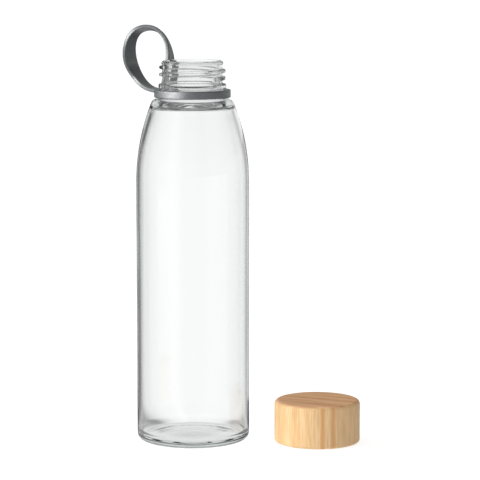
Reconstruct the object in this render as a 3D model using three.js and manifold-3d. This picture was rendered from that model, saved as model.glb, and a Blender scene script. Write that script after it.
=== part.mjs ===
// Glass water bottle with a silicone carry strap and a bamboo screw cap.
// Millimetres, +Z up. The bottle stands open, and its cap stands beside it, top face up.
// The origin is the centre of the footprint, on the surface that both stand on.
import * as THREE from 'three';
import { mergeVertices } from 'three/addons/utils/BufferGeometryUtils.js';
import Module from 'manifold-3d';

const wasm = await Module();
wasm.setup();

// Bottle: radii and heights from its own base centre
const bodyRadius = 32.5;
const wall = 2;
const heelRadius = 4;
const foot = { inner: 26, puntHeight: 2.4, midRadius: 15.6, midHeight: 1.9 };
const floor = { height: 3.6, crown: 0.8, heelRadius: 4 };
const ogiveStart = 150;
const ogiveRadius = 126;
const shoulderTop = 195.7;
const shoulderRound = 4.6;
// The wall thickens towards the shoulder, and rounds off inside it
const thicken = { from: 155, by: 1.2 };
const innerShoulder = { top: 190.5, round: 3.6, topAngle: 75, footAngle: 15 };
const grooveRadius = 18.2;
const bead = { radius: 19.5, bottom: 204, top: 207.2, round: 0.7, fillet: 0.6 };
const threadRoot = 17.3;
const lip = { radius: 17.8, bottom: 217.6, top: 220.2, round: 1.6 };
const bore = { radius: 14.6, bottom: 200 };

// Screw thread, single start, right hand, shared by the neck and the cap
const pitch = 4.1;
const threadFade = 30;
const threadEnd = 0.05;
const neckThread = {
  inner: 16.8, crest: 19.1, rootHalf: 1.15, crestHalf: 0.45, z: 209.6, from: -50, to: 570,
};
const capThread = {
  outer: 19.8, crest: 17.7, rootHalf: 1.0, crestHalf: 0.4, z: 5.2, from: 0, to: 700,
};

// Strap: a ring in the neck groove, and a strip that leaves it low, loops up and comes down on it
const ring = { inner: 18.5, outer: 22, bottom: 199.1, top: 203.6, round: 0.5 };
const strip = { width: 9.5, thickness: 2.2, round: 0.4 };
// radius, azimuth, height, then the heading and tilt of the strip's width: control points of a B-spline
const loopPath = [
  [23.5, 137, 201.5, 47, 0],
  [41.5, 132, 201.5, 52, -8],
  [50.5, 135, 212.5, 49, -9],
  [47.5, 144, 225.0, 52, -5],
  [42.0, 145, 237.5, 64, -9],
  [32.0, 132, 239.0, 76, -13],
  [26.5, 123, 230.0, 85, -15],
  [22.5, 123.5, 218.0, 66, -7],
  [21.5, 136, 205.3, 48, 0],
];

// Cap: a bamboo cup, its threaded insert and the seal inside it
const cap = {
  radius: 24.75, height: 24.5, topRound: 2.4, footRound: 1.6, innerRadius: 22.2, innerHeight: 19.8,
};
const insert = {
  radius: 21.9, bottom: 0.6, top: 19.5, plate: 1.8,
  threadRadius: 19.4, mouthRadius: 20.4, mouthHeight: 2.6, mouthTaper: 1,
};
const seal = { radius: 19.1, bottom: 15.6, top: 17.4 };

// Where the two upright axes stand
const bottleAt = [-27.75, -2.71];
const capAt = [44.25, -10.71];

// How finely curves are cut: degrees for arcs and threads, steps for the rest
const radialSegments = 56;
const arcStep = 18;
const smallArcStep = 35;
const threadStep = 10;
const ogiveSteps = 6;
const loopSteps = 44;

const rad = THREE.MathUtils.degToRad;

// Points of an arc in a profile, from one angle to another, in degrees
function arc(r, z, radius, from, to, step = arcStep) {
  const count = Math.max(2, Math.round(Math.abs(to - from) / step));
  return Array.from({ length: count + 1 }, (_, i) => {
    const angle = rad(from + (to - from) * i / count);
    return [r + radius * Math.cos(angle), z + radius * Math.sin(angle)];
  });
}

// A solid of revolution about Z: the profile runs with the material on its left
function lathe(profile) {
  const points = profile.map(([r, z]) => new THREE.Vector2(r, z));
  return new THREE.LatheGeometry(points, radialSegments).rotateX(Math.PI / 2);
}

// A closed body through equal sections, each a ring of points, with flat ends
function sweep(sections) {
  const size = sections[0].length;
  const index = [];
  for (let s = 0; s + 1 < sections.length; s += 1) {
    for (let k = 0; k < size; k += 1) {
      const a = s * size + k;
      const b = s * size + (k + 1) % size;
      index.push(a, b, b + size, a, b + size, a + size);
    }
  }
  const last = (sections.length - 1) * size;
  for (let k = 1; k + 1 < size; k += 1) {
    index.push(0, k + 1, k, last, last + k, last + k + 1);
  }
  const geometry = new THREE.BufferGeometry();
  geometry.setAttribute('position', new THREE.Float32BufferAttribute(sections.flat(2), 3));
  geometry.setIndex(index);
  return geometry;
}

function solid(geometry) {
  const bare = geometry.clone();
  bare.deleteAttribute('normal');
  bare.deleteAttribute('uv');
  const merged = mergeVertices(bare);
  return new wasm.Manifold(new wasm.Mesh({
    numProp: 3,
    vertProperties: new Float32Array(merged.attributes.position.array),
    triVerts: new Uint32Array(merged.index.array),
  }));
}

function toGeometry(manifold) {
  const mesh = manifold.getMesh();
  const geometry = new THREE.BufferGeometry();
  geometry.setAttribute('position', new THREE.BufferAttribute(mesh.vertProperties, 3));
  geometry.setIndex(new THREE.BufferAttribute(mesh.triVerts, 1));
  return geometry;
}

// A helical ridge that stands on a wall of radius `base` and reaches `crest`, fading in and out at its ends
function threadRidge({ z, from, to, rootHalf, crestHalf, crest }, base, buried) {
  const count = Math.round((to - from) / threadStep);
  const sections = Array.from({ length: count + 1 }, (_, i) => {
    const degrees = from + (to - from) * i / count;
    const fade = Math.min(1, (degrees - from) / threadFade, (to - degrees) / threadFade);
    const tip = base + (crest - base) * Math.max(threadEnd, fade);
    const level = z + pitch * (degrees - from) / 360;
    const ridge = [[buried, -rootHalf], [tip, -crestHalf], [tip, crestHalf], [buried, rootHalf]];
    return ridge.map(([r, dz]) => [r * Math.cos(rad(degrees)), r * Math.sin(rad(degrees)), level + dz]);
  });
  return sweep(crest > base ? sections.map((section) => section.reverse()) : sections);
}

function glassBottle() {
  const ogive = (z) => bodyRadius - ogiveRadius + Math.sqrt(ogiveRadius ** 2 - (z - ogiveStart) ** 2);
  const innerOgive = (z) => (
    ogive(z) - wall - thicken.by * THREE.MathUtils.smoothstep(z, thicken.from, innerShoulder.top));
  const heightsTo = (top) => Array.from({ length: ogiveSteps + 1 }, (_, i) => (
    ogiveStart + (top - ogiveStart) * i / ogiveSteps));
  const ogiveHeights = heightsTo(shoulderTop);
  const innerHeights = heightsTo(innerShoulder.top);
  const lean = Math.asin((shoulderTop - ogiveStart) / ogiveRadius);
  const leanDegrees = THREE.MathUtils.radToDeg(lean);
  const roundCentre = ogive(shoulderTop) - shoulderRound * Math.cos(lean);
  const roundLevel = shoulderTop - shoulderRound * Math.sin(lean);
  const innerRoundCentre = innerOgive(innerShoulder.top) - innerShoulder.round;
  const inside = bodyRadius - wall;
  const outer = [
    [0, foot.puntHeight],
    [foot.midRadius, foot.midHeight],
    [foot.inner, 0],
    ...arc(bodyRadius - heelRadius, heelRadius, heelRadius, -90, 0),
    ...ogiveHeights.map((z) => [ogive(z), z]),
    ...arc(roundCentre, roundLevel, shoulderRound, leanDegrees, 90).slice(1),
    [grooveRadius, roundLevel + shoulderRound],
    [grooveRadius, bead.bottom],
    ...arc(bead.radius - bead.round, bead.bottom + bead.round, bead.round, -90, 0, smallArcStep),
    ...arc(bead.radius - bead.round, bead.top - bead.round, bead.round, 0, 90, smallArcStep),
    [threadRoot + bead.fillet, bead.top],
    [threadRoot, bead.top + bead.fillet],
    [threadRoot, lip.bottom],
    ...arc(lip.radius - lip.round, lip.top - lip.round, lip.round, 0, 90, smallArcStep),
  ];
  const inner = [
    ...arc(bore.radius + lip.round, lip.top - lip.round, lip.round, 90, 180, smallArcStep).slice(1),
    [bore.radius, bore.bottom],
    ...arc(innerRoundCentre, innerShoulder.top, innerShoulder.round,
      innerShoulder.topAngle, innerShoulder.footAngle),
    ...innerHeights.reverse().map((z) => [innerOgive(z), z]),
    ...arc(inside - floor.heelRadius, floor.height + floor.heelRadius, floor.heelRadius, 0, -90),
    [0, floor.height + floor.crown],
  ];
  const blank = solid(lathe([...outer, ...inner]));
  const ridge = solid(threadRidge(neckThread, threadRoot, neckThread.inner));
  return toGeometry(blank.add(ridge));
}

function strapRing() {
  const { inner, outer, bottom, top, round } = ring;
  return lathe([
    [inner, bottom],
    ...arc(outer - round, bottom + round, round, -90, 0, smallArcStep),
    ...arc(outer - round, top - round, round, 0, 90, smallArcStep),
    [inner, top],
    [inner, bottom],
  ]);
}

// A uniform cubic B-spline through phantom end points, so that it starts and ends on the first and last
function bspline(points, t) {
  const spans = points.length - 1;
  const i = Math.min(Math.floor(t * spans), spans - 1);
  const u = t * spans - i;
  const beyond = (a, b) => a.map((value, k) => 2 * value - b[k]);
  const before = i > 0 ? points[i - 1] : beyond(points[0], points[1]);
  const after = i + 2 <= spans ? points[i + 2] : beyond(points[spans], points[spans - 1]);
  const weights = [(1 - u) ** 3, 3 * u ** 3 - 6 * u ** 2 + 4, 3 * (u + u ** 2 - u ** 3) + 1, u ** 3];
  const rows = [before, points[i], points[i + 1], after];
  return points[0].map((_, k) => rows.reduce((sum, row, j) => sum + row[k] * weights[j], 0) / 6);
}

function strapLoop() {
  const place = (t) => {
    const [r, azimuth, z] = bspline(loopPath, t);
    return new THREE.Vector3(r * Math.cos(rad(azimuth)), r * Math.sin(rad(azimuth)), z);
  };
  const halfWidth = strip.width / 2;
  const halfThickness = strip.thickness / 2;
  const outline = [[1, 1], [-1, 1], [-1, -1], [1, -1]].flatMap(([a, b]) => {
    const corners = [[halfWidth, halfThickness - strip.round], [halfWidth - strip.round, halfThickness]];
    const ordered = a * b > 0 ? corners : corners.reverse();
    return ordered.map(([w, n]) => [a * w, b * n]);
  });
  const small = 0.5 / loopSteps;
  const sections = Array.from({ length: loopSteps + 1 }, (_, i) => {
    const t = i / loopSteps;
    const [, , , heading, tilt] = bspline(loopPath, t);
    const centre = place(t);
    const along = place(Math.min(1, t + small)).sub(place(Math.max(0, t - small))).normalize();
    const across = new THREE.Vector3(
      Math.cos(rad(heading)) * Math.cos(rad(tilt)),
      Math.sin(rad(heading)) * Math.cos(rad(tilt)),
      Math.sin(rad(tilt)),
    );
    across.addScaledVector(along, -across.dot(along)).normalize();
    const face = new THREE.Vector3().crossVectors(along, across);
    return outline.map(([w, n]) => (
      centre.clone().addScaledVector(across, w).addScaledVector(face, n).toArray()));
  });
  return sweep(sections);
}

function capShell() {
  const { radius, height, topRound, footRound, innerRadius, innerHeight } = cap;
  return lathe([
    [innerRadius, 0],
    ...arc(radius - footRound, footRound, footRound, -90, 0),
    ...arc(radius - topRound, height - topRound, topRound, 0, 90),
    [0, height],
    [0, innerHeight],
    [innerRadius, innerHeight],
    [innerRadius, 0],
  ]);
}

function capInsert() {
  const { radius, bottom, top, plate, threadRadius, mouthRadius, mouthHeight, mouthTaper } = insert;
  const cup = solid(lathe([
    [0, top],
    [0, top - plate],
    [threadRadius, top - plate],
    [threadRadius, mouthHeight + mouthTaper],
    [mouthRadius, mouthHeight],
    [mouthRadius, bottom],
    [radius, bottom],
    [radius, top],
    [0, top],
  ]));
  const ridge = solid(threadRidge(capThread, threadRadius, capThread.outer));
  return toGeometry(cup.add(ridge));
}

function capSeal() {
  const { radius, bottom, top } = seal;
  return lathe([[0, bottom], [radius, bottom], [radius, top], [0, top]]);
}

const materials = {
  glass: new THREE.MeshStandardMaterial({
    color: 0xeaf0ee, roughness: 0.03, transparent: true, opacity: 0.35,
  }),
  silicone: new THREE.MeshStandardMaterial({ color: 0x777d80, roughness: 0.55 }),
  bamboo: new THREE.MeshStandardMaterial({ color: 0xd7a873, roughness: 0.5 }),
  plastic: new THREE.MeshStandardMaterial({ color: 0xf0efea, roughness: 0.4 }),
  sealSilicone: new THREE.MeshStandardMaterial({ color: 0xe4e6e4, roughness: 0.6 }),
};

function named(name, geometry, material) {
  const mesh = new THREE.Mesh(geometry, material);
  mesh.name = name;
  return mesh;
}

const bottle = new THREE.Group();
bottle.add(
  named('glass_bottle', glassBottle(), materials.glass),
  named('strap_ring', strapRing(), materials.silicone),
  named('strap_loop', strapLoop(), materials.silicone),
);
bottle.position.set(...bottleAt, 0);

const screwCap = new THREE.Group();
screwCap.add(
  named('cap_shell', capShell(), materials.bamboo),
  named('cap_insert', capInsert(), materials.plastic),
  named('cap_seal', capSeal(), materials.sealSilicone),
);
screwCap.position.set(...capAt, 0);

const group = new THREE.Group();
group.add(bottle, screwCap);

export default group;
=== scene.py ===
"""Glass water bottle with a silicone carry strap and a bamboo screw cap, in metres, +Z up."""
import math

import bpy
import numpy as np
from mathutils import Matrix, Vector


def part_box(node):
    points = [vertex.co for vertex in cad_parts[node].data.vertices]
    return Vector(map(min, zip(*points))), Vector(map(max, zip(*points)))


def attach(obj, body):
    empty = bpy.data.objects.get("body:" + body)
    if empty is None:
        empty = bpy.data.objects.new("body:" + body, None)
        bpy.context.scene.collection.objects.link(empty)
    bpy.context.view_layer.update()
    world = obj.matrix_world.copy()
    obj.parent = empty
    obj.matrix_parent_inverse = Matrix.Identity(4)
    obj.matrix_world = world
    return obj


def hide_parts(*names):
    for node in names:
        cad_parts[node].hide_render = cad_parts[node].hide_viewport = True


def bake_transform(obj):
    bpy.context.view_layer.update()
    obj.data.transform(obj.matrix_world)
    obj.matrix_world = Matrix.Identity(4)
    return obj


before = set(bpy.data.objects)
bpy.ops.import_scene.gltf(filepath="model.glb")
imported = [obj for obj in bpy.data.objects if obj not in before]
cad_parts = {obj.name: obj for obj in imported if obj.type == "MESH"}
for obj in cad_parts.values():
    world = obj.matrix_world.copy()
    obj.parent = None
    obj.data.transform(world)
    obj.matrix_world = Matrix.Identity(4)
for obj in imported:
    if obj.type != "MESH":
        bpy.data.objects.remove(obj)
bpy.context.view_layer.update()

MM = 0.001


def centre_of(node):
    """The upright axis through a CAD node, as x and y."""
    low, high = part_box(node)
    return (low.x + high.x) / 2, (low.y + high.y) / 2


BOTTLE_AXIS = centre_of("glass_bottle")
CAP_AXIS = centre_of("cap_shell")

# ---------------------------------------------------------------- driving sizes, in millimetres

BODY_RADIUS = 32.5
WALL = 2.0
HEEL_RADIUS = 4.0
FOOT_INNER = 26.0
PUNT_HEIGHT = 2.4
FLOOR_HEIGHT, FLOOR_CROWN, FLOOR_HEEL = 3.6, 0.8, 4.0
# The share of the inside radius that the domed floor takes up
FLOOR_SHARE = 0.86
OGIVE_START = 150.0
OGIVE_RADIUS = 126.0
SHOULDER_TOP = 195.7
SHOULDER_ROUND = 4.6
# The wall thickens towards the shoulder, and rounds off inside it
THICKEN_START, THICKEN = 155.0, 1.2
INNER_SHOULDER_TOP, INNER_SHOULDER_ROUND = 190.5, 3.6
INNER_SHOULDER_ANGLES = (75, 15)
GROOVE_RADIUS = 18.2
BEAD_RADIUS, BEAD_BOTTOM, BEAD_TOP, BEAD_ROUND = 19.5, 204.0, 207.2, 1.1
THREAD_ROOT = 17.3
LIP_RADIUS, LIP_TOP, LIP_ROUND = 17.8, 220.2, 1.6
BORE_RADIUS, BORE_BOTTOM, BORE_ROUND = 14.6, 200.0, 2.5

PITCH = 4.1
THREAD_FADE = 35.0
# A thread's foot lies this many half widths from its middle, and its crest starts one half width nearer
THREAD_FLANK = 1.6
NECK_THREAD = {"z": 209.6, "start": -50.0, "end": 570.0, "height": 1.8, "half": 0.95, "rows": 52}
CAP_THREAD = {"z": 5.2, "start": 0.0, "end": 700.0, "height": -1.7, "half": 0.9, "rows": 56}

RING_INNER, RING_OUTER, RING_BOTTOM, RING_TOP = 18.5, 22.0, 199.1, 203.6
STRIP_WIDTH, STRIP_THICKNESS = 9.5, 2.2
STRAP_ROUND, RING_INNER_ROUND = 0.45, 0.4
FUSE_VOXEL = 0.25
# radius, azimuth, height, then the heading and tilt of the strip's width: control points of a B-spline
LOOP_PATH = [
    (20.5, 137, 201.5, 47, 0),
    (41.5, 132, 201.5, 52, -8),
    (50.5, 135, 212.5, 49, -9),
    (47.5, 144, 225.0, 52, -5),
    (42.0, 145, 237.5, 64, -9),
    (32.0, 132, 239.0, 76, -13),
    (26.5, 123, 230.0, 85, -15),
    (22.5, 123.5, 218.0, 66, -7),
    (21.0, 136, 202.8, 48, 0),
]

CAP_RADIUS, CAP_HEIGHT, CAP_TOP_ROUND, CAP_FOOT_ROUND = 24.75, 24.5, 2.4, 1.6
CAP_INNER_RADIUS, CAP_INNER_HEIGHT = 22.2, 19.8
INSERT = {"radius": 21.9, "bottom": 0.6, "top": 19.5, "plate": 1.8,
          "thread": 19.4, "mouth": 20.4, "mouth_height": 3.6}
SEAL_RADIUS, SEAL_BOTTOM, SEAL_TOP = 19.1, 15.6, 17.4

SEGMENTS = 192
OGIVE_STEPS, PUNT_STEPS, FLOOR_STEPS = 24, 8, 6

# Strips of bamboo round the cap, and the azimuths of the two browner ones, in degrees
STRIP_COUNT = 34
DARK_STRIPS = (-84.0, -70.0)

# ---------------------------------------------------------------- mesh helpers


def arc(r, z, radius, start, end, step=6.0):
    """Profile points of an arc, from one angle to another, in degrees."""
    count = max(2, round(abs(end - start) / step))
    angles = [math.radians(start + (end - start) * i / count) for i in range(count + 1)]
    return [(r + radius * math.cos(a), z + radius * math.sin(a)) for a in angles]


def line(start, end, count):
    """Profile points along a straight line, without its last point."""
    return [(start[0] + (end[0] - start[0]) * i / count,
             start[1] + (end[1] - start[1]) * i / count) for i in range(count)]


def mesh_piece(name, points, faces, material):
    """A smooth-shaded mesh piece. points are in millimetres, in the row frame."""
    mesh = bpy.data.meshes.new(name)
    mesh.from_pydata([tuple(c * MM for c in p) for p in points], [], faces)
    mesh.validate()
    mesh.materials.append(material)
    mesh.shade_smooth()
    piece = bpy.data.objects.new(name, mesh)
    bpy.context.scene.collection.objects.link(piece)
    return piece


def around(axis, radius, angle, z):
    """A point in millimetres at a radius and an angle in radians round an upright axis."""
    return axis[0] / MM + radius * math.cos(angle), axis[1] / MM + radius * math.sin(angle), z


def revolve(profile, axis, reach=None):
    """Points and faces of a closed solid of revolution.

    The profile starts and ends on the axis, or closes on itself. reach(azimuth, r, z) is added to a point's
    radius, for what isn't round.
    """
    closed = profile[0] == profile[-1]
    rows = profile[:-1] if closed else profile
    points, row_index = [], []
    for r, z in rows:
        if r == 0:
            row_index.append([len(points)] * SEGMENTS)
            points.append((axis[0] / MM, axis[1] / MM, z))
            continue
        row_index.append(list(range(len(points), len(points) + SEGMENTS)))
        for k in range(SEGMENTS):
            azimuth = 360.0 * k / SEGMENTS
            radius = r + (reach(azimuth, r, z) if reach else 0.0)
            points.append(around(axis, radius, math.radians(azimuth), z))
    faces = []
    next_rows = row_index[1:] + ([row_index[0]] if closed else [])
    for low, high in zip(row_index, next_rows):
        for k in range(SEGMENTS):
            n = (k + 1) % SEGMENTS
            corners = [low[k], low[n], high[n], high[k]]
            face = [c for i, c in enumerate(corners) if c not in corners[:i]]
            if len(face) > 2:
                faces.append(face)
    return points, faces


def smoothstep(x):
    """0 below 0, 1 above 1, and a smooth step between."""
    x = min(1.0, max(0.0, x))
    return x * x * (3 - 2 * x)


def thread_reach(thread, azimuth, z):
    """How far a helical thread stands off its wall at one azimuth and height, and 0 between its turns."""
    start, end = thread["start"], thread["end"]
    tallest = 0.0
    for turn in range(math.ceil((start - azimuth) / 360), math.floor((end - azimuth) / 360) + 1):
        degrees = azimuth + 360 * turn
        level = thread["z"] + PITCH * (degrees - start) / 360
        fade = min(degrees - start, end - degrees) / THREAD_FADE
        ridge = smoothstep(THREAD_FLANK - abs(z - level) / thread["half"]) * smoothstep(fade)
        tallest = max(tallest, ridge)
    return tallest * thread["height"]


# ---------------------------------------------------------------- shader helpers


def new_material(name):
    """A material with an empty node tree but for its output and one Principled shader."""
    material = bpy.data.materials.new(name)
    material.use_nodes = True
    nodes = material.node_tree.nodes
    return material, nodes, material.node_tree.links, nodes["Principled BSDF"]


def node(nodes, kind, **settings):
    made = nodes.new(kind)
    for key, value in settings.items():
        setattr(made, key, value)
    return made


def feed(links, target, source):
    """Sets a socket from another socket or from a plain value."""
    if isinstance(source, bpy.types.NodeSocket):
        links.new(source, target)
    else:
        target.default_value = source


def math_node(nodes, links, operation, a, b=0.0, c=None):
    made = node(nodes, "ShaderNodeMath", operation=operation)
    feed(links, made.inputs[0], a)
    feed(links, made.inputs[1], b)
    if c is not None:
        feed(links, made.inputs[2], c)
    return made.outputs[0]


def remap(nodes, links, value, low, high, to_low=0.0, to_high=1.0):
    """Moves a value smoothly from one range to another, and holds it at the ends."""
    made = node(nodes, "ShaderNodeMapRange", interpolation_type="SMOOTHSTEP")
    feed(links, made.inputs[0], value)
    for socket, number in zip(made.inputs[1:5], (low, high, to_low, to_high)):
        socket.default_value = number
    return made.outputs[0]


def noise(nodes, links, vector, scale, detail=2.0, roughness=0.5):
    made = node(nodes, "ShaderNodeTexNoise")
    feed(links, made.inputs["Vector"], vector)
    made.inputs["Scale"].default_value = scale
    made.inputs["Detail"].default_value = detail
    made.inputs["Roughness"].default_value = roughness
    return made.outputs["Fac"]


def scaled(nodes, links, vector, location=(0, 0, 0), rotation=(0, 0, 0), scale=(1, 1, 1)):
    made = node(nodes, "ShaderNodeMapping")
    feed(links, made.inputs["Vector"], vector)
    made.inputs["Location"].default_value = location
    made.inputs["Rotation"].default_value = rotation
    made.inputs["Scale"].default_value = scale
    return made.outputs[0]


def mix_colour(nodes, links, factor, a, b):
    made = node(nodes, "ShaderNodeMix", data_type="RGBA")
    feed(links, made.inputs["Factor"], factor)
    feed(links, made.inputs["A"], a)
    feed(links, made.inputs["B"], b)
    return made.outputs["Result"]


def ramp(nodes, links, factor, stops):
    """A colour ramp: stops are (position, colour)."""
    made = node(nodes, "ShaderNodeValToRGB")
    feed(links, made.inputs[0], factor)
    elements = made.color_ramp.elements
    elements.remove(elements[-1])
    elements[0].position, elements[0].color = stops[0][0], (*stops[0][1], 1.0)
    for position, colour in stops[1:]:
        elements.new(position).color = (*colour, 1.0)
    return made.outputs[0]


def bump(nodes, links, shader, height, strength, distance):
    made = node(nodes, "ShaderNodeBump")
    made.inputs["Strength"].default_value = strength
    made.inputs["Distance"].default_value = distance
    feed(links, made.inputs["Height"], height)
    links.new(made.outputs[0], shader.inputs["Normal"])


# ---------------------------------------------------------------- materials


def glass_material():
    """Clear borosilicate: smooth, with the faint long waves of a blown wall."""
    material, nodes, links, shader = new_material("clear_glass")
    shader.inputs["Base Color"].default_value = (0.972, 0.980, 0.978, 1)
    shader.inputs["Transmission Weight"].default_value = 1.0
    shader.inputs["IOR"].default_value = 1.48
    shader.inputs["Roughness"].default_value = 0.0
    body = node(nodes, "ShaderNodeVolumeAbsorption")
    body.inputs["Color"].default_value = (0.53, 0.57, 0.56, 1)
    body.inputs["Density"].default_value = 20.0
    links.new(body.outputs[0], nodes["Material Output"].inputs["Volume"])
    place = node(nodes, "ShaderNodeTexCoord").outputs["Object"]
    waves = noise(nodes, links, scaled(nodes, links, place, scale=(60, 60, 14)), 1.0, detail=1.0)
    bump(nodes, links, shader, waves, 0.25, 0.0006)
    return material


def silicone_material():
    """Satin grey silicone: fine moulded grain, a little dust-soft variation in gloss."""
    material, nodes, links, shader = new_material("grey_silicone")
    place = node(nodes, "ShaderNodeTexCoord").outputs["Object"]
    cloud = noise(nodes, links, place, 180.0, detail=3.0)
    grain = noise(nodes, links, place, 5200.0, detail=2.0)
    colour = ramp(nodes, links, cloud, [(0.3, (0.060, 0.067, 0.069)), (0.7, (0.078, 0.086, 0.089))])
    links.new(colour, shader.inputs["Base Color"])
    links.new(remap(nodes, links, cloud, 0.3, 0.7, 0.34, 0.46), shader.inputs["Roughness"])
    shader.inputs["Specular IOR Level"].default_value = 1.0
    bump(nodes, links, shader, grain, 0.22, 0.00006)
    return material


def bamboo_material():
    """Laminated bamboo: upright strips of differing tone round the side, long grain across the top."""
    material, nodes, links, shader = new_material("laminated_bamboo")
    place = node(nodes, "ShaderNodeTexCoord").outputs["Object"]
    centred = scaled(nodes, links, place, location=(-CAP_AXIS[0], -CAP_AXIS[1], 0))
    split = node(nodes, "ShaderNodeSeparateXYZ")
    links.new(centred, split.inputs[0])
    x, y, z = split.outputs
    azimuth = math_node(nodes, links, "ARCTAN2", y, x)
    along = math_node(nodes, links, "MULTIPLY", azimuth, STRIP_COUNT / (2 * math.pi))

    # side: one tone per strip, a thin glue line between strips, fine upright fibres
    strip = math_node(nodes, links, "FLOOR", along)
    tone = node(nodes, "ShaderNodeTexWhiteNoise", noise_dimensions="1D")
    links.new(strip, tone.inputs["W"])
    inside = math_node(nodes, links, "FRACT", along)
    to_line = math_node(nodes, links, "PINGPONG", inside, 0.5)
    glue = remap(nodes, links, to_line, 0.0, 0.05, 1.0, 0.0)
    side_place = node(nodes, "ShaderNodeCombineXYZ")
    links.new(x, side_place.inputs[0])
    links.new(y, side_place.inputs[1])
    links.new(math_node(nodes, links, "MULTIPLY", z, 0.035), side_place.inputs[2])
    fibres = noise(nodes, links, side_place.outputs[0], 2300.0, detail=1.0, roughness=0.5)
    broad = noise(nodes, links, side_place.outputs[0], 230.0, detail=2.0)

    # top: layers that lie across, with long streaks
    turned = scaled(nodes, links, centred, rotation=(0, 0, math.radians(25)))
    turned = scaled(nodes, links, turned, scale=(0.06, 1, 1))
    streaks = noise(nodes, links, turned, 900.0, detail=4.0, roughness=0.6)
    layers = noise(nodes, links, turned, 210.0, detail=1.0)

    up = remap(nodes, links, z, (CAP_HEIGHT - 1.2) * MM, (CAP_HEIGHT - 0.2) * MM)

    side_tone = math_node(nodes, links, "MULTIPLY_ADD", tone.outputs["Value"], 0.12,
                          math_node(nodes, links, "MULTIPLY", broad, 0.25))
    side_mix = math_node(nodes, links, "MULTIPLY_ADD", fibres, 0.65, side_tone)
    top_mix = math_node(nodes, links, "MULTIPLY_ADD", streaks, 0.55,
                        math_node(nodes, links, "MULTIPLY", layers, 0.5))
    side = ramp(nodes, links, side_mix, [
        (0.30, (0.56, 0.330, 0.140)),
        (0.45, (0.65, 0.415, 0.195)),
        (0.56, (0.70, 0.470, 0.240)),
        (0.72, (0.78, 0.570, 0.340)),
    ])
    for middle in DARK_STRIPS:
        offset = math_node(nodes, links, "SUBTRACT", azimuth, math.radians(middle))
        off = math_node(nodes, links, "ABSOLUTE", offset)
        band = remap(nodes, links, off, math.radians(1.0), math.radians(4.5), 0.75, 0.0)
        side = mix_colour(nodes, links, band, side, (0.60, 0.275, 0.080, 1))
    top = ramp(nodes, links, top_mix, [
        (0.36, (0.46, 0.215, 0.090)),
        (0.50, (0.57, 0.305, 0.145)),
        (0.64, (0.67, 0.405, 0.210)),
    ])
    faint_glue = math_node(nodes, links, "MULTIPLY", glue, 0.22)
    lined = mix_colour(nodes, links, faint_glue, side, (0.36, 0.19, 0.08, 1))
    links.new(mix_colour(nodes, links, up, lined, top), shader.inputs["Base Color"])
    links.new(remap(nodes, links, fibres, 0.3, 0.7, 0.40, 0.58), shader.inputs["Roughness"])
    shader.inputs["Specular IOR Level"].default_value = 0.45
    shader.inputs["Coat Weight"].default_value = 0.12
    shader.inputs["Coat Roughness"].default_value = 0.35
    relief = mix_colour(nodes, links, up, fibres, streaks)
    bump(nodes, links, shader, relief, 0.25, 0.00012)
    return material


def plastic_material():
    """White moulded polypropylene with a faint cloud and fine texture."""
    material, nodes, links, shader = new_material("white_polypropylene")
    place = node(nodes, "ShaderNodeTexCoord").outputs["Object"]
    cloud = noise(nodes, links, place, 120.0)
    colour = ramp(nodes, links, cloud, [(0.3, (0.74, 0.735, 0.70)), (0.7, (0.80, 0.795, 0.765))])
    links.new(colour, shader.inputs["Base Color"])
    links.new(remap(nodes, links, cloud, 0.3, 0.7, 0.30, 0.42), shader.inputs["Roughness"])
    shader.inputs["Subsurface Weight"].default_value = 0.15
    shader.inputs["Subsurface Radius"].default_value = (0.002, 0.002, 0.0015)
    bump(nodes, links, shader, noise(nodes, links, place, 3000.0), 0.15, 0.00004)
    return material


def seal_material():
    """Milky silicone, soft and slightly see-through."""
    material, nodes, links, shader = new_material("milky_silicone")
    place = node(nodes, "ShaderNodeTexCoord").outputs["Object"]
    cloud = noise(nodes, links, place, 150.0)
    colour = ramp(nodes, links, cloud, [(0.3, (0.62, 0.64, 0.63)), (0.7, (0.70, 0.715, 0.705))])
    links.new(colour, shader.inputs["Base Color"])
    shader.inputs["Roughness"].default_value = 0.5
    shader.inputs["Subsurface Weight"].default_value = 0.3
    shader.inputs["Subsurface Radius"].default_value = (0.003, 0.003, 0.003)
    bump(nodes, links, shader, noise(nodes, links, place, 4000.0), 0.2, 0.00004)
    return material


# ---------------------------------------------------------------- pieces


def ogive(z):
    """Outside radius of the body and shoulder at a height above the straight part."""
    return BODY_RADIUS - OGIVE_RADIUS + math.sqrt(OGIVE_RADIUS ** 2 - (z - OGIVE_START) ** 2)


def inner_ogive(z):
    """Inside radius at the same height: the wall thickens towards the shoulder."""
    share = (z - THICKEN_START) / (INNER_SHOULDER_TOP - THICKEN_START)
    return ogive(z) - WALL - THICKEN * smoothstep(share)


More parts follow.
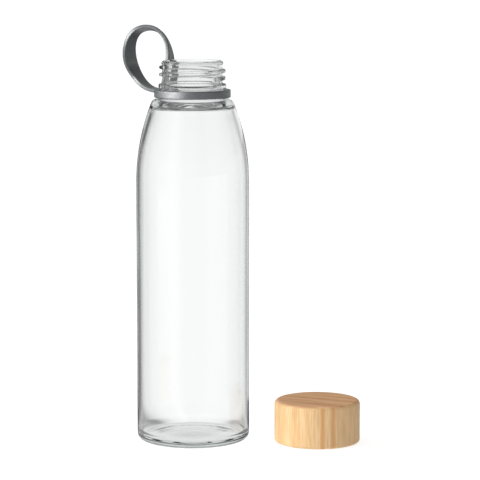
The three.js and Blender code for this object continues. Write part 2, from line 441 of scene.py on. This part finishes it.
def bottle_piece(material):
    """The whole bottle as one wall: outside from the punt to the lip, then inside back down."""
    ogive_heights = np.linspace(OGIVE_START, SHOULDER_TOP, OGIVE_STEPS + 1)
    inner_heights = np.linspace(OGIVE_START, INNER_SHOULDER_TOP, OGIVE_STEPS + 1)
    lean = math.degrees(math.asin((SHOULDER_TOP - OGIVE_START) / OGIVE_RADIUS))
    round_centre = ogive(SHOULDER_TOP) - SHOULDER_ROUND * math.cos(math.radians(lean))
    round_level = SHOULDER_TOP - SHOULDER_ROUND * math.sin(math.radians(lean))
    groove_bottom = round_level + SHOULDER_ROUND
    inner_round_centre = inner_ogive(INNER_SHOULDER_TOP) - INNER_SHOULDER_ROUND
    inside = BODY_RADIUS - WALL
    floor_radius = inside * FLOOR_SHARE
    thread_low, thread_high = BEAD_TOP + 0.7, LIP_TOP - LIP_ROUND - 0.6
    outer = [
        (0, PUNT_HEIGHT),
        *[(FOOT_INNER * i / PUNT_STEPS, PUNT_HEIGHT * (1 - smoothstep(i / PUNT_STEPS)))
          for i in range(1, PUNT_STEPS + 1)],
        *arc(BODY_RADIUS - HEEL_RADIUS, HEEL_RADIUS, HEEL_RADIUS, -90, 0),
        *line((BODY_RADIUS, HEEL_RADIUS + 6), (BODY_RADIUS, OGIVE_START), 12),
        *[(ogive(z), z) for z in ogive_heights],
        *arc(round_centre, round_level, SHOULDER_ROUND, lean, 90)[1:],
        (GROOVE_RADIUS + 0.5, groove_bottom + 0.05),
        (GROOVE_RADIUS, groove_bottom + 0.5),
        (GROOVE_RADIUS, BEAD_BOTTOM - 0.5),
        *arc(BEAD_RADIUS - BEAD_ROUND, BEAD_BOTTOM + BEAD_ROUND, BEAD_ROUND, -80, 0, 16),
        *arc(BEAD_RADIUS - BEAD_ROUND, BEAD_TOP - BEAD_ROUND, BEAD_ROUND, 0, 80, 16),
        (THREAD_ROOT + 0.35, BEAD_TOP + 0.15),
        *line((THREAD_ROOT, thread_low), (THREAD_ROOT, thread_high), NECK_THREAD["rows"]),
        (THREAD_ROOT, thread_high),
        *arc(LIP_RADIUS - LIP_ROUND, LIP_TOP - LIP_ROUND, LIP_ROUND, -20, 90, 11),
    ]
    inner = [
        *arc(BORE_RADIUS + LIP_ROUND, LIP_TOP - LIP_ROUND, LIP_ROUND, 90, 180, 11)[1:],
        *line((BORE_RADIUS, LIP_TOP - LIP_ROUND - 1), (BORE_RADIUS, BORE_BOTTOM), 6),
        *arc(BORE_RADIUS + BORE_ROUND, BORE_BOTTOM, BORE_ROUND, 180, 240, 12),
        *arc(inner_round_centre, INNER_SHOULDER_TOP, INNER_SHOULDER_ROUND, *INNER_SHOULDER_ANGLES),
        *[(inner_ogive(z), z) for z in reversed(inner_heights)],
        *line((inside, OGIVE_START - 12), (inside, FLOOR_HEIGHT + FLOOR_HEEL + 8), 12),
        *arc(inside - FLOOR_HEEL, FLOOR_HEIGHT + FLOOR_HEEL, FLOOR_HEEL, 0, -86),
        *[(floor_radius * (1 - i / FLOOR_STEPS), FLOOR_HEIGHT + FLOOR_CROWN * smoothstep(i / FLOOR_STEPS))
          for i in range(FLOOR_STEPS)],
        (0, FLOOR_HEIGHT + FLOOR_CROWN),
    ]

    def reach(azimuth, r, z):
        if abs(r - THREAD_ROOT) > 0.01 or not thread_low <= z <= thread_high:
            return 0.0
        return thread_reach(NECK_THREAD, azimuth, z)

    points, faces = revolve(outer + inner, BOTTLE_AXIS, reach)
    piece = mesh_piece("clear_bottle", points, faces, material)
    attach(piece, "bottle")
    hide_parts("glass_bottle")
    piece.visible_shadow = False
    return piece


def bspline(rows, t):
    """A uniform cubic B-spline through phantom end points, so that it meets the first and last rows."""
    spans = len(rows) - 1
    i = min(int(t * spans), spans - 1)
    u = t * spans - i
    table = np.array(rows, float)
    before = table[i - 1] if i > 0 else 2 * table[0] - table[1]
    after = table[i + 2] if i + 2 <= spans else 2 * table[spans] - table[spans - 1]
    weights = ((1 - u) ** 3, 3 * u ** 3 - 6 * u ** 2 + 4, 3 * (u + u ** 2 - u ** 3) + 1, u ** 3)
    return sum(w * row for w, row in zip(weights, (before, table[i], table[i + 1], after))) / 6


def strip_section(steps=4):
    """The rounded outline of the strip, as offsets along its width and its thickness."""
    corner_w, corner_t = STRIP_WIDTH / 2 - STRAP_ROUND, STRIP_THICKNESS / 2 - STRAP_ROUND
    outline = []
    for start, sign_w, sign_t in ((0, 1, 1), (90, -1, 1), (180, -1, -1), (270, 1, -1)):
        for i in range(steps + 1):
            angle = math.radians(start + 90 * i / steps)
            outline.append((sign_w * corner_w + STRAP_ROUND * math.cos(angle),
                            sign_t * corner_t + STRAP_ROUND * math.sin(angle)))
    return outline


def loop_mesh(steps=180):
    """The strip of the strap, swept along its path with its own roll."""
    def place(t):
        r, azimuth, z = bspline(LOOP_PATH, t)[:3]
        return np.array(around(BOTTLE_AXIS, r, math.radians(azimuth), z))

    outline = strip_section()
    points, faces = [], []
    small = 0.5 / steps
    for s in range(steps + 1):
        t = s / steps
        heading, tilt = (math.radians(a) for a in bspline(LOOP_PATH, t)[3:])
        along = place(min(1, t + small)) - place(max(0, t - small))
        along /= np.linalg.norm(along)
        level = np.array((math.cos(heading), math.sin(heading), 0.0))
        across = level * math.cos(tilt) + np.array((0.0, 0.0, math.sin(tilt)))
        across -= along * across.dot(along)
        across /= np.linalg.norm(across)
        face = np.cross(along, across)
        points += [tuple(place(t) + w * across + n * face) for w, n in outline]
    size = len(outline)
    for s in range(steps):
        for k in range(size):
            a, b = s * size + k, s * size + (k + 1) % size
            faces.append((a, b, b + size, a + size))
    faces.append(tuple(reversed(range(size))))
    faces.append(tuple(steps * size + k for k in range(size)))
    return points, faces


def apply_modifiers(piece):
    """Puts the modified mesh in place of the piece's own, so that no modifier is left."""
    depsgraph = bpy.context.evaluated_depsgraph_get()
    mesh = bpy.data.meshes.new_from_object(piece.evaluated_get(depsgraph))
    piece.modifiers.clear()
    piece.data = mesh


def strap_piece(material):
    """Ring and strip as one moulding: both solids are fused by a fine remesh, which rounds the roots."""
    outer, inner = RING_OUTER - STRAP_ROUND, RING_INNER + RING_INNER_ROUND
    profile = [
        *arc(outer, RING_BOTTOM + STRAP_ROUND, STRAP_ROUND, -90, 0, 15),
        *arc(outer, RING_TOP - STRAP_ROUND, STRAP_ROUND, 0, 90, 15),
        *arc(inner, RING_TOP - RING_INNER_ROUND, RING_INNER_ROUND, 90, 180, 30),
        *arc(inner, RING_BOTTOM + RING_INNER_ROUND, RING_INNER_ROUND, 180, 270, 30),
    ]
    profile.append(profile[0])
    ring_points, ring_faces = revolve(profile, BOTTLE_AXIS)
    loop_points, loop_faces = loop_mesh()
    shift = len(ring_points)
    faces = ring_faces + [tuple(i + shift for i in face) for face in loop_faces]
    piece = mesh_piece("carry_strap", ring_points + loop_points, faces, material)
    remesh = piece.modifiers.new("fuse", "REMESH")
    remesh.mode = "VOXEL"
    remesh.voxel_size = FUSE_VOXEL * MM
    remesh.use_smooth_shade = True
    smooth = piece.modifiers.new("relax", "SMOOTH")
    smooth.factor = 0.5
    smooth.iterations = 3
    apply_modifiers(piece)
    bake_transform(piece)
    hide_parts("strap_ring", "strap_loop")
    return piece


def cap_shell_piece(material):
    """The bamboo cup: out along the ceiling of its hollow, down the wall, then up round its outside."""
    edge = 0.3
    profile = [
        (0, CAP_INNER_HEIGHT),
        (CAP_INNER_RADIUS - edge, CAP_INNER_HEIGHT),
        (CAP_INNER_RADIUS, CAP_INNER_HEIGHT - edge),
        (CAP_INNER_RADIUS, edge),
        (CAP_INNER_RADIUS + edge, 0),
        *arc(CAP_RADIUS - CAP_FOOT_ROUND, CAP_FOOT_ROUND, CAP_FOOT_ROUND, -90, 0, 11),
        *line((CAP_RADIUS, 3), (CAP_RADIUS, CAP_HEIGHT - CAP_TOP_ROUND), 8),
        *arc(CAP_RADIUS - CAP_TOP_ROUND, CAP_HEIGHT - CAP_TOP_ROUND, CAP_TOP_ROUND, 0, 90, 9),
        (CAP_RADIUS * 0.6, CAP_HEIGHT),
        (CAP_RADIUS * 0.3, CAP_HEIGHT),
        (0, CAP_HEIGHT),
    ]
    points, faces = revolve(profile, CAP_AXIS)
    piece = mesh_piece("bamboo_cap", points, faces, material)
    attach(piece, "cap")
    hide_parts("cap_shell")
    piece.visible_glossy = False
    return piece


def cap_insert_piece(material):
    """The threaded cup inside the shell, whose thread stands inwards."""
    thread_low, thread_high = INSERT["mouth_height"] + 0.2, INSERT["top"] - INSERT["plate"] - 0.6
    r, edge = INSERT["radius"], 0.35
    profile = [
        (0, INSERT["top"] - INSERT["plate"]),
        (INSERT["thread"] - edge, INSERT["top"] - INSERT["plate"]),
        (INSERT["thread"], thread_high + 0.3),
        *line((INSERT["thread"], thread_high), (INSERT["thread"], thread_low), CAP_THREAD["rows"]),
        (INSERT["thread"], thread_low),
        (INSERT["mouth"], INSERT["mouth_height"] - 1),
        (INSERT["mouth"], INSERT["bottom"] + edge),
        (INSERT["mouth"] + edge, INSERT["bottom"]),
        (r - edge, INSERT["bottom"]),
        (r, INSERT["bottom"] + edge),
        (r, INSERT["top"] - edge),
        (r - edge, INSERT["top"]),
        (0, INSERT["top"]),
    ]

    def reach(azimuth, radius, z):
        if abs(radius - INSERT["thread"]) > 0.01 or not thread_low <= z <= thread_high:
            return 0.0
        return thread_reach(CAP_THREAD, azimuth, z)

    points, faces = revolve(profile, CAP_AXIS, reach)
    piece = mesh_piece("threaded_insert", points, faces, material)
    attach(piece, "cap")
    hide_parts("cap_insert")
    return piece


def cap_seal_piece(material):
    """A disc with a raised sealing rib where the lip of the bottle presses."""
    rib = (LIP_RADIUS + BORE_RADIUS) / 2
    edge = 0.4
    profile = [
        (0, SEAL_BOTTOM + 0.3),
        (rib - 1.6, SEAL_BOTTOM + 0.3),
        *arc(rib, SEAL_BOTTOM + 0.5, 0.5, 200, 340, 20),
        (rib + 1.4, SEAL_BOTTOM + 0.3),
        (SEAL_RADIUS - edge, SEAL_BOTTOM + 0.3),
        (SEAL_RADIUS, SEAL_BOTTOM + 0.3 + edge),
        (SEAL_RADIUS, SEAL_TOP - edge),
        (SEAL_RADIUS - edge, SEAL_TOP),
        (0, SEAL_TOP),
    ]
    points, faces = revolve(profile, CAP_AXIS)
    piece = mesh_piece("seal_disc", points, faces, material)
    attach(piece, "seal")
    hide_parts("cap_seal")
    return piece


# ---------------------------------------------------------------- studio


# A long lens a little above the bottle, which looks slightly down
CAMERA = {"x": -0.0005, "before_bottle": 1.37, "height": 0.294, "down": 7.38, "lens": 179.25, "sensor": 36.0}


def place_camera():
    camera = bpy.data.cameras.new("camera")
    camera.lens = CAMERA["lens"]
    camera.sensor_width = CAMERA["sensor"]
    camera.clip_end = 100.0
    made = bpy.data.objects.new("camera", camera)
    made.location = (CAMERA["x"], BOTTLE_AXIS[1] - CAMERA["before_bottle"], CAMERA["height"])
    made.rotation_euler = (math.radians(90 - CAMERA["down"]), 0, 0)
    bpy.context.scene.collection.objects.link(made)
    bpy.context.scene.camera = made


# Half the floor's side, and how far it lies below the object
FLOOR = {"half": 30.0, "drop": 0.0002}


def make_floor():
    """A white floor that glows a little, so that it stays white, and that is clear from below."""
    half = FLOOR["half"]
    mesh = bpy.data.meshes.new("floor")
    corners = [(-half, -half, 0), (half, -half, 0), (half, half, 0), (-half, half, 0)]
    mesh.from_pydata(corners, [], [(0, 1, 2, 3)])
    material, nodes, links, shader = new_material("studio_white")
    shader.inputs["Base Color"].default_value = (0.35, 0.35, 0.35, 1)
    shader.inputs["Roughness"].default_value = 0.9
    shader.inputs["Specular IOR Level"].default_value = 0.1
    shader.inputs["Emission Color"].default_value = (1, 1, 1, 1)
    shader.inputs["Emission Strength"].default_value = 0.78
    clear = node(nodes, "ShaderNodeBsdfTransparent")
    one_sided = node(nodes, "ShaderNodeMixShader")
    links.new(node(nodes, "ShaderNodeNewGeometry").outputs["Backfacing"], one_sided.inputs[0])
    links.new(shader.outputs[0], one_sided.inputs[1])
    links.new(clear.outputs[0], one_sided.inputs[2])
    links.new(one_sided.outputs[0], nodes["Material Output"].inputs["Surface"])
    mesh.materials.append(material)
    floor = bpy.data.objects.new("floor", mesh)
    floor.location.z = -FLOOR["drop"]
    bpy.context.scene.collection.objects.link(floor)


# Tables of (azimuth, brightness) round the bottle: degrees from straight behind it, clockwise from above.

# A tent round the bottle, which only light through glass sees. Its dark stretches draw the glass's edges.
TENT = [
    (-180, 0.90), (-110, 0.78), (-75, 0.58), (-50, 0.38), (-42, 0.26), (-38, 0.26), (-34, 0.48), (-29, 0.76),
    (-24, 0.92), (-18, 1.03), (-10, 1.08), (-8, 1.11), (-4, 1.04), (2, 1.04), (5, 1.07), (18, 1.06),
    (24, 1.03), (31, 0.96), (36, 0.74), (41, 0.56), (50, 0.64), (75, 0.74), (110, 0.82), (180, 0.90),
]
# The tent's upper part, from just below the top of the shoulder, is plainer
NECK_TENT = [
    (-180, 0.75), (-70, 0.35), (-45, 0.12), (-26, 0.80), (0, 0.95), (30, 0.90), (50, 0.55), (180, 0.75),
]
NECK_HEIGHTS = (0.182, 0.190)
# Above the lip the tent is dim, which draws the rounded edge of the mouth
TENT_DIM_HEIGHTS, TENT_DIM_LEVEL = (0.235, 0.27), 0.4
# Under the bottle the tent's brightness depends on the radius instead, up to where its walls take over
FLOOR_CARD = [(0.0, 0.50), (0.010, 0.55), (0.020, 0.76), (0.030, 0.80)]
FLOOR_CARD_EDGE = (0.028, 0.036)
# The tent is a bowl of this outline, as (radius, height)
TENT_OUTLINE = [(0.0005, -0.0001), (0.110, -0.0001), (0.125, 0.015), (0.125, 0.6)]

# Flags that only reflections see: a floor plate and a wall further out behind the bottle
FLAGS = [
    (-180, 1.0), (-85, 0.85), (-68, 0.50), (-52, 0.05), (-15, 0.00), (-8, 0.90), (8, 0.90), (15, 0.00),
    (50, 0.05), (64, 0.50), (85, 0.60), (110, 0.50), (180, 1.0),
]
FLAGS_SPAN = (-110.0, 110.0)
FLAGS_OUTLINE = [(0.034, 0.0001), (0.2, 0.0001), (0.2, 0.182)]
# The wall stands higher on the left
LEFT_FLAG_SPAN = (-60.0, -8.0)
LEFT_FLAG_OUTLINE = [(0.2, 0.182), (0.2, 0.225)]
# A grey card behind the mouth, for reflections in the rim
RIM_CARD = [(-180, 0.30), (180, 0.30)]
RIM_CARD_SPAN = (-50.0, 50.0)
RIM_CARD_OUTLINE = [(0.2, 0.225), (0.2, 0.40)]
CARD_STEPS = 96

# The sky, for everything else
SKY = [
    (-180, 0.75), (-150, 1.1), (-60, 1.2), (-20, 1.0), (30, 1.0), (62, 0.35), (90, 0.18), (150, 0.25),
    (180, 0.75),
]
KEY = {"location": (-1.35, -0.45, 0.62), "size": (0.8, 0.8), "power": 20.0}
GLOSS = {"location": (-1.05, -0.55, 0.32), "size": (1.1, 0.9), "power": 32.0}
LAMPS_AIM = Vector((0, 0, 0.12))
# Enough bounces for light that is reflected many times inside the glass
BOUNCES = 40


def grey(level):
    return (level, level, level)


def glow_by_azimuth(nodes, links, vector, levels):
    """A grey that depends on the azimuth of a vector."""
    split = node(nodes, "ShaderNodeSeparateXYZ")
    links.new(vector, split.inputs[0])
    azimuth = math_node(nodes, links, "ARCTAN2", split.outputs[0], split.outputs[1])
    turn = math_node(nodes, links, "MULTIPLY_ADD", azimuth, 1 / (2 * math.pi), 0.5)
    return ramp(nodes, links, turn, [((degrees + 180) / 360, grey(level)) for degrees, level in levels])


def glow_material(name, levels):
    """A material that glows by azimuth, and the coordinates, colour and emission that it is made with."""
    material = bpy.data.materials.new(name)
    material.use_nodes = True
    nodes, links = material.node_tree.nodes, material.node_tree.links
    nodes.clear()
    place = node(nodes, "ShaderNodeTexCoord").outputs["Object"]
    centred = scaled(nodes, links, place, location=(-BOTTLE_AXIS[0], -BOTTLE_AXIS[1], 0))
    colour = glow_by_azimuth(nodes, links, centred, levels)
    glow = node(nodes, "ShaderNodeEmission")
    links.new(colour, glow.inputs["Color"])
    links.new(glow.outputs[0], node(nodes, "ShaderNodeOutputMaterial").inputs["Surface"])
    return material, centred, colour, glow


def tent_material():
    """The tent's glow: by azimuth, with a plainer neck part, a dim top and a card under the bottle."""
    material, centred, low_glow, glow = glow_material("tent", TENT)
    nodes, links = material.node_tree.nodes, material.node_tree.links
    split = node(nodes, "ShaderNodeSeparateXYZ")
    links.new(centred, split.inputs[0])
    height = split.outputs[2]
    high_glow = glow_by_azimuth(nodes, links, centred, NECK_TENT)
    high = remap(nodes, links, height, *NECK_HEIGHTS)
    walls = mix_colour(nodes, links, high, low_glow, high_glow)
    away = node(nodes, "ShaderNodeVectorMath", operation="LENGTH")
    links.new(centred, away.inputs[0])
    reach = away.outputs["Value"]
    card_radius = FLOOR_CARD[-1][0]
    along = math_node(nodes, links, "DIVIDE", reach, card_radius)
    under = ramp(nodes, links, along, [(radius / card_radius, grey(level)) for radius, level in FLOOR_CARD])
    outer = remap(nodes, links, reach, *FLOOR_CARD_EDGE)
    links.new(mix_colour(nodes, links, outer, under, walls), glow.inputs["Color"])
    dim = remap(nodes, links, height, *TENT_DIM_HEIGHTS, 1.0, TENT_DIM_LEVEL)
    links.new(dim, glow.inputs["Strength"])
    return material


def make_cards(name, outline, span, material, **seen_by):
    """Cards round the bottle's axis over a span of azimuths, seen only by glossy or transmission rays."""
    start, end = span
    angles = [math.radians(90 - start - (end - start) * k / CARD_STEPS) for k in range(CARD_STEPS + 1)]
    points = [(BOTTLE_AXIS[0] + radius * math.cos(angle), BOTTLE_AXIS[1] + radius * math.sin(angle), height)
              for radius, height in outline for angle in angles]
    size = len(angles)
    faces = [(row * size + k, row * size + k + 1, (row + 1) * size + k + 1, (row + 1) * size + k)
             for row in range(len(outline) - 1) for k in range(CARD_STEPS)]
    mesh = bpy.data.meshes.new(name)
    mesh.from_pydata(points, [], faces)
    mesh.materials.append(material)
    cards = bpy.data.objects.new(name, mesh)
    cards.visible_camera = False
    cards.visible_diffuse = False
    cards.visible_shadow = False
    cards.visible_glossy = seen_by.get("glossy", False)
    cards.visible_transmission = seen_by.get("transmission", False)
    bpy.context.scene.collection.objects.link(cards)


def make_tent():
    """The tent for light through the glass, and the cards for reflections in it."""
    make_cards("tent", TENT_OUTLINE, (-180.0, 180.0), tent_material(), transmission=True)
    for name, outline, span, levels in (
        ("flags", FLAGS_OUTLINE, FLAGS_SPAN, FLAGS),
        ("rim_card", RIM_CARD_OUTLINE, RIM_CARD_SPAN, RIM_CARD),
        ("left_flag", LEFT_FLAG_OUTLINE, LEFT_FLAG_SPAN, FLAGS),
    ):
        make_cards(name, outline, span, glow_material(name, levels)[0], glossy=True)


def add_lamp(name, location, size, power):
    """A rectangular area lamp that points at the middle of the set."""
    lamp = bpy.data.lights.new(name, "AREA")
    lamp.shape = "RECTANGLE"
    lamp.size, lamp.size_y = size
    lamp.energy = power
    made = bpy.data.objects.new(name, lamp)
    made.location = location
    aim = LAMPS_AIM - made.location
    made.rotation_euler = aim.to_track_quat("-Z", "Y").to_euler()
    bpy.context.scene.collection.objects.link(made)
    return made


def light_set(glossy_pieces):
    """A sky, dimmer at the right, a soft key from the front left, and a lamp for some pieces' gloss."""
    world = bpy.data.worlds.new("studio")
    bpy.context.scene.world = world
    world.use_nodes = True
    tree = world.node_tree
    direction = node(tree.nodes, "ShaderNodeTexCoord").outputs["Generated"]
    sky = glow_by_azimuth(tree.nodes, tree.links, direction, SKY)
    tree.links.new(sky, tree.nodes["Background"].inputs["Color"])
    key = add_lamp("key", **KEY)
    key.visible_glossy = False
    key.visible_transmission = False
    gloss = add_lamp("gloss", **GLOSS)
    gloss.visible_diffuse = False
    gloss.visible_transmission = False
    lit = bpy.data.collections.new("lit_by_gloss")
    for piece in glossy_pieces:
        lit.objects.link(piece)
    gloss.light_linking.receiver_collection = lit


def set_view():
    scene = bpy.context.scene
    scene.view_settings.view_transform = "Standard"
    scene.cycles.max_bounces = BOUNCES
    scene.cycles.transmission_bounces = BOUNCES
    scene.cycles.glossy_bounces = BOUNCES


place_camera()
bottle_piece(glass_material())
strap = strap_piece(silicone_material())
cap_shell_piece(bamboo_material())
cap_insert_piece(plastic_material())
cap_seal_piece(seal_material())
make_floor()
make_tent()
light_set([strap])
set_view()
